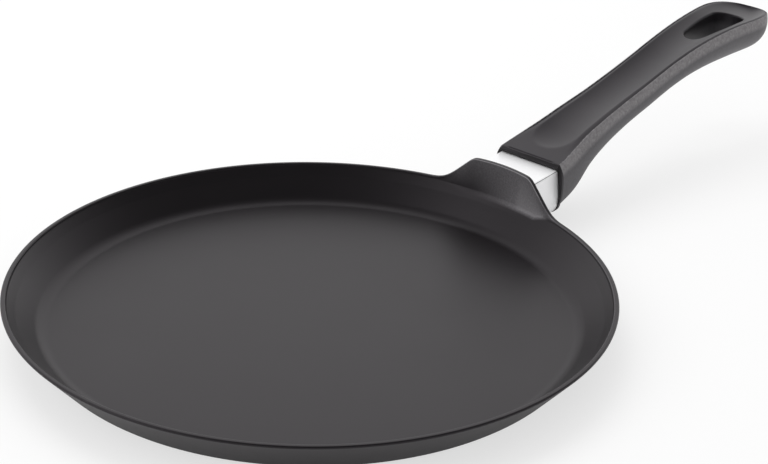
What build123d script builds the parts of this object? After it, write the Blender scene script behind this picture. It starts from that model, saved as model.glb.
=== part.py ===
from build123d import *
import math
import os

# A crepe pan: a shallow cast aluminium pan with a flared wall and a raised lug, a bright metal
# sleeve behind the lug, and a moulded handle that a steel spring locks onto the pan's tongue.
# All lengths are in millimetres. The origin is the centre of the machined base face, +Z is up
# and the handle points along +X.

# Driving sizes of the pan
rim_diameter = 250
rim_height = 19.1
rim_width = 2.2
rim_bevel = 0.7
rim_land = 0.9
wall_angle = 49
wall_foot_width = 3.2
floor_thickness = 4.6
floor_round = 8
base_margin = 8.9
base_step = 0.8
under_round = 6

# The raised lug, seen from behind the handle: heights are above the rim
lug_height = 14.6
lug_crown = 0.7
lug_shoulder = 16.2
lug_foot = 31
lug_corner_round = 6
lug_foot_round = 20

# The joint's axis leaves the pan behind the lug and climbs a little
joint_setback = 2.5
joint_drop = 1.3
joint_angle = 5
neck_inset = 0.5

# The sleeve's cross-section and sheet
ferrule_top_width = 33
ferrule_width = 34.4
ferrule_foot_width = 32.8
ferrule_depth = 22.4
ferrule_bulge_drop = 12.5
ferrule_top_round = 1.2
ferrule_foot_round = 6
ferrule_length = 18
ferrule_wall = 0.8

# The tongue and its notch
tongue_width = 20
tongue_root = 2
tongue_thickness = 7.5
tongue_length = 38
tongue_rise = 3.2
tongue_round = 1.5
notch_place = 32
notch_length = 3
notch_depth = 2

# The handle's outside
handle_length = 185.5
handle_rise = 31.4
handle_width = 38.4
handle_depth = 25.4
handle_end_length = 19
handle_end_slant = 12
end_bluntness = 0.8
front_above_axis = 13.5
edge_bevel = 1
slot_length = 42.6
slot_width = 17
slot_front_width = 11.4
slot_from_tip = 36.1
slot_margin = 4
slot_bevel = 0.4

# The handle's inside
rebate_depth = 2
nose_gap = 0.2
nose_front_gap = 1
socket_gap = 0.25
socket_end_gap = 2
spring_room = 2.8
ledge_length = 3
ledge_depth = 1.4

# The spring
spring_thickness = 0.8
spring_width = 12
spring_flat = 3
spring_reach = 10
spring_arm_gap = 0.5
spring_gap = 0.05

# Every cut runs this far past the solid that it cuts
overrun = 5

rim_radius = rim_diameter / 2
inner_rim_radius = rim_radius - rim_width
land_height = rim_height - rim_land
wall_slope = math.tan(math.radians(wall_angle))
under_foot = rim_radius - (land_height - base_step) / wall_slope
base_radius = under_foot - base_margin
floor_radius = rim_radius - (land_height - floor_thickness) / wall_slope - wall_foot_width
joint_distance = rim_radius + joint_setback
joint_height = rim_height - joint_drop
neck_reach = joint_distance - floor_radius
lug_top = rim_height + lug_height
ferrule_top = ferrule_depth / 2
tongue_top = tongue_rise + tongue_thickness / 2
socket_roof = tongue_top + socket_gap + spring_room
pocket_front = notch_place - spring_reach

# Turned profiles are drawn on the side away from the handle: X is outwards there and Y upwards
turning = Plane(origin=(0, 0, 0), x_dir=(-1, 0, 0), z_dir=(0, 1, 0))

# Frames of the joint: one looks along the handle's axis, the other from its side
axis_direction = Vector(math.cos(math.radians(joint_angle)), 0, math.sin(math.radians(joint_angle)))
joint_origin = Vector(joint_distance, 0, joint_height)


def across(distance):
    """The plane across the joint's axis at this distance behind the neck's end face, Y to its right."""
    return Plane(origin=joint_origin + axis_direction * distance, x_dir=(0, 1, 0), z_dir=axis_direction)


# The side plane of the joint: its X runs along the joint's axis and its Y is upwards
along = Plane(origin=joint_origin, x_dir=axis_direction, z_dir=(0, -1, 0))


def ferrule_section(inset):
    """The sleeve's outline, drawn in by inset: wider at mid height, with large rounds at its foot."""
    bulge_height = ferrule_top - ferrule_bulge_drop
    with BuildLine() as outline:
        Polyline(
            (-ferrule_top_width / 2, ferrule_top),
            (ferrule_top_width / 2, ferrule_top),
            (ferrule_width / 2, bulge_height),
            (ferrule_foot_width / 2, -ferrule_top),
            (-ferrule_foot_width / 2, -ferrule_top),
            (-ferrule_width / 2, bulge_height),
            close=True,
        )
    with BuildSketch() as sketch:
        add(outline.line)
        make_face()
        fillet(sketch.vertices().group_by(Axis.Y)[-1], ferrule_top_round)
        fillet(sketch.vertices().group_by(Axis.Y)[0], ferrule_foot_round)
        if inset:
            offset(amount=-inset, mode=Mode.REPLACE)
    return sketch.sketch


# The pan's outside is a turned form: base, flared wall, and an upright collar that the lug is cut from
with BuildPart() as pan_body:
    with BuildSketch(turning) as outside:
        with BuildLine():
            Polyline(
                (0, 0),
                (base_radius - base_step, 0),
                (base_radius, base_step),
                (under_foot, base_step),
                (rim_radius, land_height),
                (rim_radius, lug_top + overrun),
                (0, lug_top + overrun),
                close=True,
            )
        make_face()
        fillet(outside.vertices().sort_by_distance((under_foot, base_step))[0], under_round)
    revolve(axis=Axis.Z)

    # Away from the handle the collar is cut level with the rim, and at the handle it leaves the lug
    with BuildSketch(Plane.YZ) as above_lug:
        with BuildLine():
            Polyline(
                (-lug_shoulder, lug_top - lug_crown),
                (-lug_foot, rim_height),
                (-rim_radius - overrun, rim_height),
                (-rim_radius - overrun, lug_top + 2 * overrun),
                (rim_radius + overrun, lug_top + 2 * overrun),
                (rim_radius + overrun, rim_height),
                (lug_foot, rim_height),
                (lug_shoulder, lug_top - lug_crown),
            )
            ThreePointArc(
                (lug_shoulder, lug_top - lug_crown),
                (0, lug_top),
                (-lug_shoulder, lug_top - lug_crown),
            )
        make_face()
        for side in (-1, 1):
            shoulder = (side * lug_shoulder, lug_top - lug_crown)
            fillet(above_lug.vertices().sort_by_distance(shoulder)[0], lug_corner_round)
            foot = (side * lug_foot, rim_height)
            fillet(above_lug.vertices().sort_by_distance(foot)[0], lug_foot_round)
    extrude(amount=rim_radius + overrun, mode=Mode.SUBTRACT)
    with BuildSketch(Plane.XY.offset(rim_height)):
        with Locations((-rim_radius / 2, 0)):
            Rectangle(rim_radius, 2 * rim_radius)
    extrude(amount=lug_height + 2 * overrun, mode=Mode.SUBTRACT)

    # The neck behind the lug ends in the face that the sleeve sits on
    with BuildSketch(across(0)):
        add(ferrule_section(neck_inset))
    extrude(amount=-neck_reach)

    # The inside is one turned cut: floor, flared wall, and the lug's upright face
    with BuildSketch(turning) as inside:
        with BuildLine():
            Polyline(
                (0, floor_thickness),
                (floor_radius, floor_thickness),
                (inner_rim_radius, land_height),
                (inner_rim_radius, lug_top + overrun),
                (0, lug_top + overrun),
                close=True,
            )
        make_face()
        fillet(inside.vertices().sort_by_distance((floor_radius, floor_thickness))[0], floor_round)
    revolve(axis=Axis.Z, mode=Mode.SUBTRACT)

    # The rim and the lug's top share one bevelled edge
    rim_face = pan_body.faces().filter_by(Axis.Z).sort_by_distance((-rim_radius, 0, rim_height))[0]
    chamfer(rim_face.edges(), rim_bevel)

    # The tongue carries the handle, and its notch takes the spring's tab
    with BuildSketch(across(-tongue_root)):
        with Locations((0, tongue_rise)):
            RectangleRounded(tongue_width, tongue_thickness, tongue_round)
    extrude(amount=tongue_length + tongue_root)
    with BuildSketch(along):
        with Locations((notch_place, tongue_rise + tongue_thickness / 2)):
            Rectangle(notch_length, notch_depth * 2)
    extrude(amount=spring_width / 2 + socket_gap, both=True, mode=Mode.SUBTRACT)

pan_body.part.label = "pan_body"

# The sleeve is a drawn cup: its floor sits on the neck and has a window for the tongue
with BuildPart() as ferrule:
    with BuildSketch(across(0)):
        add(ferrule_section(0))
    extrude(amount=ferrule_length)
    with BuildSketch(across(ferrule_wall)):
        add(ferrule_section(ferrule_wall))
    extrude(amount=ferrule_length, mode=Mode.SUBTRACT)
    with BuildSketch(across(-overrun)):
        with Locations((0, tongue_rise)):
            Rectangle(tongue_width + 2 * socket_gap, tongue_thickness + 2 * socket_gap)
    extrude(amount=2 * overrun, mode=Mode.SUBTRACT)
ferrule.part.label = "ferrule"

# The handle's stations, front to tip. Along is a share of handle_length, rise of handle_rise,
# top and widest are shares of half of handle_width, drop, depth and hollow of handle_depth.
# Fullness is 0.55 for an elliptic underside and over 1 for a squarer one. Lean is in degrees.
# The last two stations go by the slot: one is in front of it and one is at its middle.
slot_start_share = 1 - (slot_from_tip + slot_length / 2 + slot_margin) / handle_length
slot_middle_share = 1 - slot_from_tip / handle_length
station_shares = (
    # along, rise, lean, top, widest, drop, depth, hollow, fullness
    (0.000, 0.000, joint_angle, 0.90, 1.000, 0.28, 1.000, 0.010, 1.10),
    (0.065, 0.096, 10, 0.835, 0.970, 0.33, 0.965, 0.030, 0.93),
    (0.133, 0.210, 14, 0.740, 0.885, 0.29, 0.825, 0.050, 0.68),
    (0.214, 0.325, 15, 0.690, 0.792, 0.25, 0.765, 0.060, 0.56),
    (0.306, 0.440, 14, 0.650, 0.734, 0.24, 0.690, 0.065, 0.55),
    (0.414, 0.580, 13.5, 0.640, 0.719, 0.24, 0.655, 0.070, 0.55),
    (0.522, 0.732, 13, 0.640, 0.719, 0.24, 0.640, 0.080, 0.55),
    (0.600, 0.834, 10.8, 0.667, 0.747, 0.24, 0.665, 0.090, 0.55),
    (slot_start_share, 0.905, 8.1, 0.706, 0.792, 0.24, 0.700, 0.106, 0.55),
    (slot_middle_share, 0.987, 2.5, 0.806, 0.882, 0.24, 0.770, 0.138, 0.55),
)
# The tip's stations narrow like an ellipse, turn by turn in degrees, while the underside lifts.
# The first turned one is clear of the slot, and the others share out the rest of the quarter turn.
end_turn_shares = (0, 0.35, 0.60, 0.79, 0.92)
clear_share = 1 - (slot_from_tip - slot_length / 2 - slot_margin) / handle_end_length
clear_turn = math.degrees(math.asin(clear_share))
end_turns = [0] + [clear_turn + share * (90 - clear_turn) for share in end_turn_shares]
end_section_shares = (0.875, 0.927, 0.24, 0.780, 0.120, 0.55)
end_rise_share = 0.997
end_fall_share = 0.040
end_lift_share = 0.3
front_origin = joint_origin + axis_direction * (ferrule_length - rebate_depth)
front_top = front_origin.Z + front_above_axis * math.cos(math.radians(joint_angle))
front_x = front_origin.X - front_above_axis * math.sin(math.radians(joint_angle))


def handle_station(along_share, rise_share, lean):
    """The plane of one section: its origin is on the top edge line, its X to the left, its Y up."""
    angle = math.radians(lean)
    place = Vector(front_x + along_share * handle_length, 0, front_top + rise_share * handle_rise)
    return Plane(origin=place, x_dir=(0, 1, 0), z_dir=(math.cos(angle), 0, math.sin(angle)))


def handle_section(along_share, rise_share, lean, *section_shares):
    """One closed section: a hollowed top between bevels, sides that swell, and a rounded underside.

    Its edges are made apart from any sketch, because a sketch would join the smooth ones and the
    joints would wander from section to section.
    """
    top_share, widest_share, drop_share, depth_share, hollow_share, fullness_share = section_shares
    top = top_share * handle_width / 2
    widest = widest_share * handle_width / 2
    drop = drop_share * handle_depth
    depth = depth_share * handle_depth
    bevel = edge_bevel * top_share
    side_bend = (drop + bevel) / 2
    hollow_bend = 2 * hollow_share * handle_depth
    hollow = Bezier((bevel - top, 0), (0, -hollow_bend), (top - bevel, 0), mode=Mode.PRIVATE)
    side = [
        Line((top - bevel, 0), (top, -bevel), mode=Mode.PRIVATE),
        Bezier((top, -bevel), (widest, -side_bend), (widest, -drop), mode=Mode.PRIVATE),
    ]
    other_side = mirror(side, about=Plane.YZ, mode=Mode.PRIVATE).edges()
    # The underside is one curve of the fifth degree, whose middle weighs its six points like this
    under_bend = drop + fullness_share * (depth - drop)
    under_reach = (32 * depth - 2 * drop - 10 * under_bend) / 20
    half_under = [(widest, -drop), (widest, -under_bend), (fullness_share * widest, -under_reach)]
    under = Bezier(*half_under, *[(-y, z) for y, z in reversed(half_under)], mode=Mode.PRIVATE)
    face = make_face([hollow, under] + side + other_side, mode=Mode.PRIVATE)
    return handle_station(along_share, rise_share, lean) * face


def tip_station(turn):
    """A row like the stations' for the tip: narrower, shallower and leaning back as the turn grows."""
    sine = math.sin(math.radians(turn))
    cosine = math.cos(math.radians(turn))
    along_share = 1 - handle_end_length / handle_length * (1 - sine)
    rise_share = end_rise_share - end_fall_share * sine**2
    top_share, widest_share, drop_share, depth_share, hollow_share, fullness_share = end_section_shares
    narrow = cosine**end_bluntness
    shallow = 1 - end_lift_share * (1 - cosine)
    return (
        along_share, rise_share, -handle_end_slant * sine, top_share * narrow, widest_share * narrow,
        drop_share * shallow, depth_share * shallow, hollow_share * narrow, fullness_share,
    )


tip_x = front_x + handle_length
handle_sections = [handle_section(*shares) for shares in station_shares]
tip_sections = [handle_section(*tip_station(turn)) for turn in end_turns]
with BuildPart() as handle:
    loft(handle_sections + tip_sections, ruled=True)

    # The hanging slot goes right through, and only the slot's own walls are flat or conical
    with BuildSketch(Plane.XY.offset(front_top)):
        with Locations((tip_x - slot_from_tip - (slot_length - slot_front_width) / 2, 0)):
            Circle(slot_front_width / 2)
        with Locations((tip_x - slot_from_tip + (slot_length - slot_width) / 2, 0)):
            Circle(slot_width / 2)
        make_hull()
    extrude(amount=2 * handle_rise, both=True, mode=Mode.SUBTRACT)
    walls = handle.faces(Select.LAST).filter_by(GeomType.BSPLINE, reverse=True)
    chamfer(walls.edges().filter_by(Axis.Z, reverse=True), slot_bevel)

    # The front end is rebated over the sleeve, and a nose fills the sleeve behind the rebate
    with BuildSketch(across(ferrule_length)):
        add(ferrule_section(-nose_gap))
    extrude(amount=-(rebate_depth + overrun), mode=Mode.SUBTRACT)
    with BuildSketch(across(ferrule_wall + nose_front_gap)):
        add(ferrule_section(ferrule_wall + nose_gap))
    extrude(amount=ferrule_length - ferrule_wall - nose_front_gap)

    # The socket takes the tongue, with room above it for the spring and a pocket in its roof
    with BuildSketch(along):
        with Locations((0, tongue_rise - tongue_thickness / 2 - socket_gap)):
            Rectangle(
                tongue_length + socket_end_gap,
                tongue_thickness + 2 * socket_gap + spring_room,
                align=(Align.MIN, Align.MIN),
            )
    extrude(amount=tongue_width / 2 + socket_gap, both=True, mode=Mode.SUBTRACT)
    with BuildSketch(along):
        with Locations((pocket_front, socket_roof)):
            Rectangle(ledge_length, 2 * ledge_depth, align=(Align.MIN, Align.CENTER))
    extrude(amount=spring_width / 2 + socket_gap, both=True, mode=Mode.SUBTRACT)
handle.part.label = "handle"

# The spring is one bent strip: a tab down in the tongue's notch, a flat on the tongue, and an arm
# that rises into the pocket, so that the handle can be pushed on but not pulled off
strip_on_tongue = tongue_top + spring_gap + spring_thickness / 2
tab_place = notch_place + notch_length / 2 - spring_gap - spring_thickness / 2
with BuildPart() as lock_spring:
    with BuildSketch(along):
        with BuildLine() as strip:
            FilletPolyline(
                (tab_place, tongue_top - notch_depth + spring_gap),
                (tab_place, strip_on_tongue),
                (tab_place - spring_flat, strip_on_tongue),
                (pocket_front + spring_arm_gap, socket_roof + ledge_depth - spring_thickness),
                radius=spring_thickness,
            )
        trace(line_width=spring_thickness)
    extrude(amount=spring_width / 2, both=True)
lock_spring.part.label = "lock_spring"

os.makedirs("parts", exist_ok=True)
for piece in (pan_body, ferrule, handle, lock_spring):
    export_step(piece.part, f"parts/{piece.part.label}.step")
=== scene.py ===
# %% [markdown]
# # A crepe pan, dressed on its solid model
# The solid model fixes every size and place. This file adds what the eye looks for: the soft
# rounds of a casting and of a moulding, a groove that a solid model leaves out, and the four
# finishes. It starts by loading the solids, and everything after that is in metres in their frame.

# %% Load the solid model
import math

import bmesh
import bpy
import numpy as np
from mathutils import Matrix, Vector
from mathutils.bvhtree import BVHTree


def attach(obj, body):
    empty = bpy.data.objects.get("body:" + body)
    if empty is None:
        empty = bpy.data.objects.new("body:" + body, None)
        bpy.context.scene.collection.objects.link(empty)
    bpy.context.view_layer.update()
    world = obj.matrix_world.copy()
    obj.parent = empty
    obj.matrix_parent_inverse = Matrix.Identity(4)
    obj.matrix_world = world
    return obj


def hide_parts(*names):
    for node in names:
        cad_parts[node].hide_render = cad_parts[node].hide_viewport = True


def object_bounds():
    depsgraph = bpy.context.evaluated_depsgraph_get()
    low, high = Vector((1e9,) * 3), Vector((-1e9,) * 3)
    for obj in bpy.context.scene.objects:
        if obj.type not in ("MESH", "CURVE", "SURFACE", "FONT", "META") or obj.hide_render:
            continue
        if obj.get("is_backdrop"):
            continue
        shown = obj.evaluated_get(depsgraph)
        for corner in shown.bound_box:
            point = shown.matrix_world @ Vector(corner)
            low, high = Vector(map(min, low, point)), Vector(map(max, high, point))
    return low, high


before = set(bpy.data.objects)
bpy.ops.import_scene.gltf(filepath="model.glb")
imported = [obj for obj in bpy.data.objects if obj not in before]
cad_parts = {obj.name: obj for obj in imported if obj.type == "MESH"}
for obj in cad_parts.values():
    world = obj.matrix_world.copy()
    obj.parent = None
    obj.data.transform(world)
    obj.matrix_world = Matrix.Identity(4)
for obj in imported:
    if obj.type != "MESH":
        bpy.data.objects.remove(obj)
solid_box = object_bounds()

mm = 0.001
print("nodes:", sorted(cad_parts))

# %% [markdown]
# ## The camera
# The photograph was taken with a fairly long lens from a little above the rim. The rim's outline
# is a circle seen in perspective, so it gives the tilt, the roll and the distance. A camera needs
# a place and three directions, and these are worked out from an azimuth, an elevation and a roll.

# %% The camera
camera_place = Vector((-472.85, -453.66, 354.53)) * mm
azimuth, elevation, roll = (math.radians(angle) for angle in (-48.7, 25.455, 1.759))
backwards = Vector((
    math.sin(azimuth) * math.cos(elevation),
    -math.cos(azimuth) * math.cos(elevation),
    math.sin(elevation),
))
level_right = Vector((math.cos(azimuth), math.sin(azimuth), 0))
level_up = backwards.cross(level_right)
right = math.cos(roll) * level_right + math.sin(roll) * level_up
up = math.cos(roll) * level_up - math.sin(roll) * level_right
lens = bpy.data.cameras.new("lens")
lens.sensor_width = 36
lens.lens = 84.375
camera = bpy.data.objects.new("camera", lens)
camera.matrix_world = Matrix((right, up, backwards)).transposed().to_4x4()
camera.matrix_world.translation = camera_place
bpy.context.collection.objects.link(camera)
bpy.context.scene.camera = camera
print("camera at", [round(value, 4) for value in camera_place])

# %% [markdown]
# ## Small helpers
# One function adds a node with its settings and links, for materials and for geometry alike. One
# turns a written colour into the linear numbers that a shader wants. Two draw outlines: an open or
# closed line with its corners rounded, and the same outline drawn in by an amount.

# %% Nodes and colours
def put(tree, kind, links=None, **settings):
    """Adds one node. Settings are its properties; links maps its sockets to values or to outputs."""
    node = tree.nodes.new(kind)
    for name, value in settings.items():
        setattr(node, name, value)
    for socket, value in (links or {}).items():
        if isinstance(value, bpy.types.NodeSocket):
            tree.links.new(value, node.inputs[socket])
        else:
            node.inputs[socket].default_value = value
    return node


def linear(colour):
    """The linear colour, with an alpha of 1, of an sRGB hex value such as #808080."""
    shares = [int(colour[place:place + 2], 16) / 255 for place in (1, 3, 5)]
    return [s / 12.92 if s <= 0.04045 else ((s + 0.055) / 1.055) ** 2.4 for s in shares] + [1]


# %% Outlines
def rounded(points, radii, closed, steps=8, hold=0.3 * mm):
    """The line through the points with its corners rounded, and a point close to each end of a
    straight, so that smooth shading stays flat on it."""
    corners = [np.array(point, float) for point in points]
    count = len(corners)
    line = []
    for place, corner in enumerate(corners):
        before, after = corners[place - 1], corners[(place + 1) % count]
        if not closed and place in (0, count - 1):
            line.append([corner])
            continue
        into = (before - corner) / np.linalg.norm(before - corner)
        out = (after - corner) / np.linalg.norm(after - corner)
        turn = math.pi - math.acos(np.clip(into @ out, -1, 1))
        reach = radii[place] * math.tan(turn / 2)
        if radii[place] == 0 or turn < 1e-6:
            line.append([corner])
            continue
        middle = corner + (into + out) / np.linalg.norm(into + out) * radii[place] / math.cos(turn / 2)
        start, end = corner + into * reach, corner + out * reach
        arc = []
        for step in range(steps + 1):
            share = step / steps
            from_start, from_end = math.sin((1 - share) * turn), math.sin(share * turn)
            spoke = (start - middle) * from_start + (end - middle) * from_end
            arc.append(middle + spoke / math.sin(turn))
        line.append(arc)
    result = []
    for place, arc in enumerate(line):
        result += arc
        if not closed and place == count - 1:
            break
        start, end = arc[-1], line[(place + 1) % count][0]
        length = np.linalg.norm(end - start)
        if length > 3 * hold:
            result += [start + (end - start) * hold / length, end - (end - start) * hold / length]
    return np.array(result)


def drawn_in(outline, amount):
    """A closed outline moved inwards by amount along its own normals (the outline runs left to
    right as seen from its middle, or the other way: the sign follows its area)."""
    ahead = np.roll(outline, -1, axis=0) - np.roll(outline, 1, axis=0)
    ahead /= np.maximum(np.linalg.norm(ahead, axis=1), 1e-12)[:, None]
    y, z = outline.T
    turning_left = np.sum(y * np.roll(z, -1) - z * np.roll(y, -1)) > 0
    sign = 1 if turning_left else -1
    return outline + sign * amount * np.stack([-ahead[:, 1], ahead[:, 0]], axis=1)


# %% Meshes
def finish_mesh(name, points, faces, material):
    """A closed, smooth mesh object of these points and faces: doubles merged, faces outwards."""
    mesh = bpy.data.meshes.new(name)
    mesh.from_pydata([tuple(point) for point in points], [], faces)
    work = bmesh.new()
    work.from_mesh(mesh)
    bmesh.ops.remove_doubles(work, verts=work.verts, dist=1e-6)
    bmesh.ops.dissolve_degenerate(work, dist=1e-7, edges=work.edges)
    bmesh.ops.recalc_face_normals(work, faces=work.faces)
    if work.calc_volume(signed=True) < 0:
        bmesh.ops.reverse_faces(work, faces=work.faces)
    open_edges = sum(1 for edge in work.edges if len(edge.link_faces) != 2)
    volume = work.calc_volume(signed=True)
    work.to_mesh(mesh)
    work.free()
    mesh.materials.append(material)
    mesh.polygons.foreach_set("use_smooth", [True] * len(mesh.polygons))
    piece = bpy.data.objects.new(name, mesh)
    bpy.context.collection.objects.link(piece)
    print(name, "faces", len(mesh.polygons), "open edges", open_edges, "cm3", round(volume * 1e6, 1))
    return piece


def mark(piece, name, values):
    """Writes one value for each point of a piece, which its material reads by name."""
    piece.data.attributes.new(name, "FLOAT", "POINT").data.foreach_set("value", values)


def skin(rings, closed_at=(0, -1)):
    """Points and faces of a skin over rings of equal counts, closed by a fan at the given rings."""
    count = len(rings[0])
    points = [point for ring in rings for point in ring]
    faces = []
    for row in range(len(rings) - 1):
        for place in range(count):
            after = (place + 1) % count
            here, there = row * count, (row + 1) * count
            faces.append((here + place, here + after, there + after, there + place))
    for end in closed_at:
        row = end % len(rings)
        points.append(np.mean(rings[row], axis=0))
        middle = len(points) - 1
        faces += [(row * count + place, row * count + (place + 1) % count, middle) for place in range(count)]
    return points, faces


# %% [markdown]
# ## Finishes
# Four finishes cover the pan, and each is built from what the real one is. The pan has a fired
# non-stick coating: a dark film that looks nearly black from above and turns a soft grey at a flat
# angle, where every film mirrors more. The handle is a compression-moulded phenolic resin, satin
# on top where the mould is polished, and grained at the sides where the mould is etched. The
# sleeve is polished stainless steel, and the spring is rolled spring steel. Where a finish changes
# over a piece, it reads a value that the piece's points carry.

# %% The non-stick coating
def new_material(name):
    """An empty node material with its output, its shader and object coordinates."""
    material = bpy.data.materials.new(name)
    material.use_nodes = True
    tree = material.node_tree
    tree.nodes.clear()
    shader = put(tree, "ShaderNodeBsdfPrincipled")
    put(tree, "ShaderNodeOutputMaterial", {"Surface": shader.outputs[0]})
    place = put(tree, "ShaderNodeTexCoord").outputs["Object"]
    return material, tree, shader, place


# Both dark finishes mirror white light with a faint violet cast
violet_cast = (1, 0.93, 1, 1)
coating, tree, shader, place = new_material("fired_nonstick_coating")
shader.inputs["IOR"].default_value = 1.5
shader.inputs["Specular Tint"].default_value = violet_cast
# A sprayed film pools a little as it dries: soft clouds about 30 mm wide
clouds = put(tree, "ShaderNodeTexNoise", {"Vector": place, "Scale": 1 / (30 * mm), "Detail": 3})
film = put(tree, "ShaderNodeMix", {
    "Factor": clouds.outputs["Fac"], "A": linear("#100e10"), "B": linear("#161315"),
}, data_type="RGBA")
# Where the lathe did not reach, the cast skin was blasted, and its grain of about 0.8 mm shows pale. This
# pale tone is partly that grain and partly painted light on the lug's face, and a painted highlight in its
# crease
lightened = put(tree, "ShaderNodeAttribute", attribute_name="blast_grain_and_painted_light").outputs["Fac"]
grain = put(tree, "ShaderNodeTexNoise", {
    "Vector": place, "Scale": 1 / (0.8 * mm), "Detail": 3, "Roughness": 0.7,
})
speckled = put(tree, "ShaderNodeMix", {
    "Factor": grain.outputs["Fac"], "A": linear("#3c3a3c"), "B": linear("#7c7a7d"),
}, data_type="RGBA")
tone = put(tree, "ShaderNodeMix", {
    "Factor": lightened, "A": film.outputs["Result"], "B": speckled.outputs["Result"],
}, data_type="RGBA")
# On the lug's sharp inner edge a pale line is a painted highlight: there the attribute goes from 1 to 2
edge_highlight = put(tree, "ShaderNodeMapRange", {"Value": lightened, "From Min": 1, "From Max": 2})
with_edge_highlight = put(tree, "ShaderNodeMix", {
    "Factor": edge_highlight.outputs["Result"], "A": tone.outputs["Result"], "B": linear("#b0aeb0"),
}, data_type="RGBA")
tree.links.new(with_edge_highlight.outputs["Result"], shader.inputs["Base Color"])
satin = put(tree, "ShaderNodeMapRange", {"Value": clouds.outputs["Fac"], "To Min": 0.38, "To Max": 0.42})
gloss = put(tree, "ShaderNodeMapRange", {"Value": lightened, "To Min": satin.outputs["Result"], "To Max": 0.6})
tree.links.new(gloss.outputs["Result"], shader.inputs["Roughness"])
height = put(tree, "ShaderNodeMapRange", {"Value": lightened, "To Min": 0.15, "To Max": 1})
relief = put(tree, "ShaderNodeMath", {
    0: grain.outputs["Fac"], 1: height.outputs["Result"],
}, operation="MULTIPLY")
bump = put(tree, "ShaderNodeBump", {
    "Height": relief.outputs["Value"], "Strength": 0.5, "Distance": 0.12 * mm,
})
tree.links.new(bump.outputs["Normal"], shader.inputs["Normal"])

# %% The handle's phenolic resin
phenolic, tree, shader, place = new_material("moulded_phenolic")
shader.inputs["IOR"].default_value = 1.5
shader.inputs["Specular Tint"].default_value = violet_cast
side = put(tree, "ShaderNodeAttribute", attribute_name="grain_and_lit_band").outputs["Fac"]
mottle = put(tree, "ShaderNodeTexNoise", {
    "Vector": place, "Scale": 1 / (1.3 * mm), "Detail": 3, "Roughness": 0.6,
})
# The sides are lighter than the top, partly as etched grain and partly as painted light. The upper band of
# each side, at 1, is lighter still: painted light where it faces up
shades = put(tree, "ShaderNodeValToRGB", {"Fac": side})
ramp = shades.color_ramp
ramp.elements[0].color, ramp.elements[1].color = linear("#222023"), linear("#787677")
ramp.elements.new(0.5).color = linear("#4a494b")
speckle = put(tree, "ShaderNodeMapRange", {
    "Value": mottle.outputs["Fac"], "From Min": 0.3, "From Max": 0.7, "To Min": 0.74, "To Max": 1.26,
})
uneven = put(tree, "ShaderNodeMix", {
    "Factor": side, "A": 1.0, "B": speckle.outputs["Result"],
}, data_type="FLOAT")
tone = put(tree, "ShaderNodeVectorMath", {
    0: shades.outputs["Color"], "Scale": uneven.outputs["Result"],
}, operation="SCALE")
# The lip's front and the slot's wall are darker: painted shade where they lie in shadow
painted_shade_share = put(tree, "ShaderNodeAttribute", attribute_name="painted_shade").outputs["Fac"]
colour = put(tree, "ShaderNodeMix", {
    "Factor": painted_shade_share, "A": tone.outputs["Vector"], "B": linear("#0a0a0b"),
}, data_type="RGBA")
tree.links.new(colour.outputs["Result"], shader.inputs["Base Color"])
gloss = put(tree, "ShaderNodeMapRange", {"Value": side, "To Min": 0.38, "To Max": 0.55})
tree.links.new(gloss.outputs["Result"], shader.inputs["Roughness"])
# Spark-etched mould grain, about 0.4 mm, drawn a little coarser than the real one so that it shows
etched = put(tree, "ShaderNodeTexNoise", {"Vector": place, "Scale": 1 / (0.7 * mm), "Detail": 3})
depth = put(tree, "ShaderNodeMath", {0: etched.outputs["Fac"], 1: side}, operation="MULTIPLY")
bump = put(tree, "ShaderNodeBump", {
    "Height": depth.outputs["Value"], "Strength": 0.6, "Distance": 0.12 * mm,
})
tree.links.new(bump.outputs["Normal"], shader.inputs["Normal"])

# %% The sleeve's polished steel and the spring's rolled steel
polished, tree, shader, place = new_material("polished_stainless")
# Only a share of 0.35 is metal, so the nearly white colour also shows as a diffuse white: a painted
# highlight standing in for the steel's bright reflection
shader.inputs["Metallic"].default_value = 0.35
# Along the die line of each upper edge the steel is painted dark: painted shade
creased = put(tree, "ShaderNodeAttribute", attribute_name="creased").outputs["Fac"]
steel = put(tree, "ShaderNodeMix", {
    "Factor": creased, "A": linear("#fcfcfd"), "B": linear("#2c2c2e"),
}, data_type="RGBA")
tree.links.new(steel.outputs["Result"], shader.inputs["Base Color"])
polish = put(tree, "ShaderNodeTexNoise", {"Vector": place, "Scale": 1 / (6 * mm), "Detail": 2})
gloss = put(tree, "ShaderNodeMapRange", {"Value": polish.outputs["Fac"], "To Min": 0.38, "To Max": 0.44})
tree.links.new(gloss.outputs["Result"], shader.inputs["Roughness"])

rolled, tree, shader, place = new_material("rolled_spring_steel")
shader.inputs["Metallic"].default_value = 1
shader.inputs["Base Color"].default_value = linear("#9b9da1")
lines = put(tree, "ShaderNodeMapping", {"Vector": place, "Scale": (1, 40, 1)})
rolling = put(tree, "ShaderNodeTexNoise", {"Vector": lines.outputs["Vector"], "Scale": 1 / (4 * mm)})
gloss = put(tree, "ShaderNodeMapRange", {"Value": rolling.outputs["Fac"], "To Min": 0.25, "To Max": 0.4})
tree.links.new(gloss.outputs["Result"], shader.inputs["Roughness"])
print("finishes:", [material.name for material in (coating, phenolic, polished, rolled)])

# %% [markdown]
# ## The pan's profile
# A pan like this is cast and then turned on a lathe, so one outline says nearly all of it: base,
# a small step, the flared wall, the rim and the inside. The outline is drawn once, with the soft
# corners of a casting, and a rule turns it round and lifts it where the lug stands.

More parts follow.
